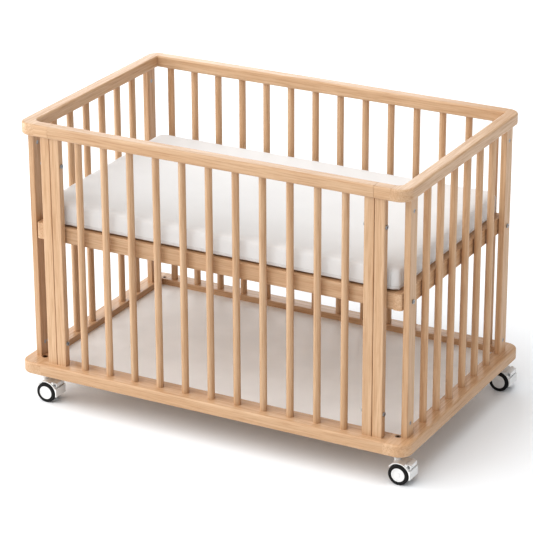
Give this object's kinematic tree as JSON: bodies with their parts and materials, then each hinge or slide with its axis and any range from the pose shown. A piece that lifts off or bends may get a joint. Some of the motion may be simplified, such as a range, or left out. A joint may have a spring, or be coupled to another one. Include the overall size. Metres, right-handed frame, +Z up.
{
  "type": "baby crib",
  "caption": "Rectangular barred wooden baby crib on swivel casters, with a white floor panel and a removable mattress on a slatted base at mid height.",
  "frame": {"origin": "on the floor, under the middle of the crib", "axes": "+X along the crib to its right as seen from the front, +Y from the front (the side with the two pairs of flat stiles) to the back, +Z up"},
  "size_m": [1.024, 0.644, 0.71],
  "materials": {
    "beech": "satin clear lacquer",
    "white_board": "matt white foil",
    "mattress_cover": "off-white woven cotton",
    "zinc_steel": "bright zinc",
    "bronzed_steel": "dark bronze plating",
    "white_nylon": "moulded satin",
    "black_tyre": "matt"
  },
  "bodies": {
    "crib": {"left_top_rail": "beech", "right_top_rail": "beech", "back_top_rail": "beech", "front_top_rail": "beech", "left_front_return": "beech", "right_front_return": "beech", "front_left_post": "beech", "front_right_post": "beech", "back_left_post": "beech", "back_right_post": "beech", "left_panel_stile": "beech", "right_panel_stile": "beech", "left_end_stile": "beech", "right_end_stile": "beech", "front_bars": "beech", "back_bars": "beech", "left_bars": "beech", "right_bars": "beech", "left_bottom_rail": "beech", "right_bottom_rail": "beech", "front_bottom_rail": "beech", "back_bottom_rail": "beech", "base_front_rail": "beech", "base_back_rail": "beech", "base_left_rail": "beech", "base_right_rail": "beech", "base_ledgers": "beech", "base_slats": "beech", "wood_dowels": "beech", "floor_panel": "white_board", "caster_nuts": "bronzed_steel", "stile_bolts": "zinc_steel", "stile_cap_nuts": "zinc_steel", "base_bolts": "zinc_steel", "base_inserts": "zinc_steel", "post_barrel_nuts": "zinc_steel", "post_studs": "zinc_steel", "caster_stems": "zinc_steel"},
    "mattress": {"mattress": "mattress_cover"},
    "swivel_fl": {"caster_body_fl": "white_nylon"},
    "wheels_fl": {"caster_hubs_fl": "white_nylon", "caster_tyres_fl": "black_tyre", "caster_axle_fl": "zinc_steel"},
    "brake_fl": {"caster_pedal_fl": "white_nylon"},
    "swivel_fr": {"caster_body_fr": "white_nylon"},
    "wheels_fr": {"caster_hubs_fr": "white_nylon", "caster_tyres_fr": "black_tyre", "caster_axle_fr": "zinc_steel"},
    "brake_fr": {"caster_pedal_fr": "white_nylon"},
    "swivel_bl": {"caster_body_bl": "white_nylon"},
    "wheels_bl": {"caster_hubs_bl": "white_nylon", "caster_tyres_bl": "black_tyre", "caster_axle_bl": "zinc_steel"},
    "brake_bl": {"caster_pedal_bl": "white_nylon"},
    "swivel_br": {"caster_body_br": "white_nylon"},
    "wheels_br": {"caster_hubs_br": "white_nylon", "caster_tyres_br": "black_tyre", "caster_axle_br": "zinc_steel"},
    "brake_br": {"caster_pedal_br": "white_nylon"}
  },
  "joints": [
    {"name": "mattress_lift", "type": "slide", "parent": "crib", "child": "mattress", "axis": [0, 0, 1], "range_m": [0, 0.25]},
    {"name": "caster_swivel_fl", "type": "hinge", "parent": "crib", "child": "swivel_fl", "pos_m": [-0.469, -0.275, 0.08], "axis": [0, 0, 1], "continuous": true},
    {"name": "caster_roll_fl", "type": "hinge", "parent": "swivel_fl", "child": "wheels_fl", "pos_m": [-0.458, -0.275, 0.025], "axis": [0, 1, 0], "continuous": true},
    {"name": "caster_brake_fl", "type": "hinge", "parent": "swivel_fl", "child": "brake_fl", "pos_m": [-0.43936, -0.275, 0.05162], "axis": [0, 1, 0], "range_deg": [0, 12]},
    {"name": "caster_swivel_fr", "type": "hinge", "parent": "crib", "child": "swivel_fr", "pos_m": [0.469, -0.275, 0.08], "axis": [0, 0, 1], "continuous": true},
    {"name": "caster_roll_fr", "type": "hinge", "parent": "swivel_fr", "child": "wheels_fr", "pos_m": [0.48, -0.275, 0.025], "axis": [0, 1, 0], "continuous": true},
    {"name": "caster_brake_fr", "type": "hinge", "parent": "swivel_fr", "child": "brake_fr", "pos_m": [0.49864, -0.275, 0.05162], "axis": [0, 1, 0], "range_deg": [0, 12]},
    {"name": "caster_swivel_bl", "type": "hinge", "parent": "crib", "child": "swivel_bl", "pos_m": [-0.469, 0.29, 0.08], "axis": [0, 0, 1], "continuous": true},
    {"name": "caster_roll_bl", "type": "hinge", "parent": "swivel_bl", "child": "wheels_bl", "pos_m": [-0.458, 0.29, 0.025], "axis": [0, 1, 0], "continuous": true},
    {"name": "caster_brake_bl", "type": "hinge", "parent": "swivel_bl", "child": "brake_bl", "pos_m": [-0.43936, 0.29, 0.05162], "axis": [0, 1, 0], "range_deg": [0, 12]},
    {"name": "caster_swivel_br", "type": "hinge", "parent": "crib", "child": "swivel_br", "pos_m": [0.469, 0.29, 0.08], "axis": [0, 0, 1], "continuous": true},
    {"name": "caster_roll_br", "type": "hinge", "parent": "swivel_br", "child": "wheels_br", "pos_m": [0.48, 0.29, 0.025], "axis": [0, 1, 0], "continuous": true},
    {"name": "caster_brake_br", "type": "hinge", "parent": "swivel_br", "child": "brake_br", "pos_m": [0.49864, 0.29, 0.05162], "axis": [0, 1, 0], "range_deg": [0, 12]}
  ]
}
